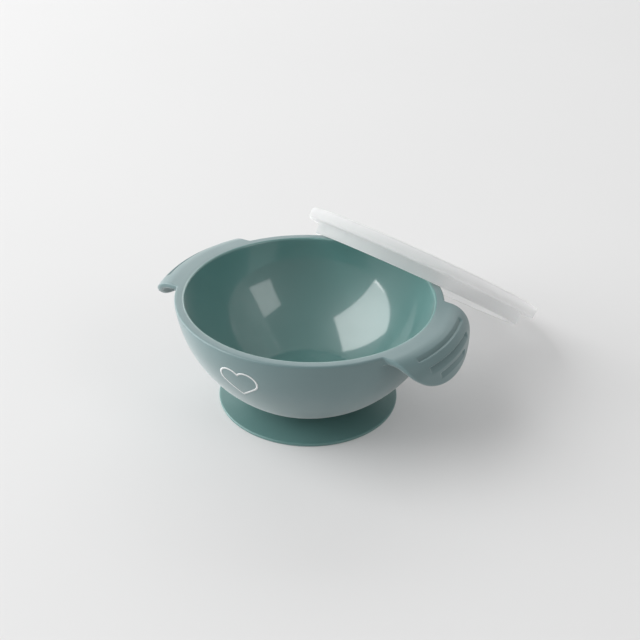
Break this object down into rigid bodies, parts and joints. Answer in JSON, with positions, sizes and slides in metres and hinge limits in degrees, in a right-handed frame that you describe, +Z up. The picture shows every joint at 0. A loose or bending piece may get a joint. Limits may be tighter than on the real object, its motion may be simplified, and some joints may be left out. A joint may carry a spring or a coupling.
{
  "type": "suction bowl",
  "caption": "Round baby feeding bowl with curled side handles on a flexible suction base, and a shallow translucent press-on lid leaning on its rim.",
  "frame": {"origin": "centre of the suction base, on the table", "axes": "+Z up along the bowl's axis; the two handles lie along +X and -X; the lid leans on the rim at the +Y side"},
  "size_m": [0.1551, 0.198, 0.0789],
  "materials": {
    "silicone": "satin",
    "frosted_lid": "frosted, translucent",
    "print_white": "thin printed film, matt"
  },
  "bodies": {
    "suction_base": {"suction_disc": "silicone"},
    "bowl": {"bowl_shell": "silicone", "left_handle": "silicone", "right_handle": "silicone", "pedestal": "silicone"},
    "lid": {"lid": "frosted_lid"}
  },
  "joints": [
    {"name": "press_down", "type": "slide", "parent": "suction_base", "child": "bowl", "axis": [0, 0, -1], "range_m": [0, 0.002], "stiffness_N_per_m": 4000, "springref_m": -0.001, "deforming": ["suction_disc"]},
    {"name": "lid_lift", "type": "slide", "parent": "suction_base", "child": "lid", "axis": [0, 0, 1], "range_m": [0, 0.07]}
  ]
}
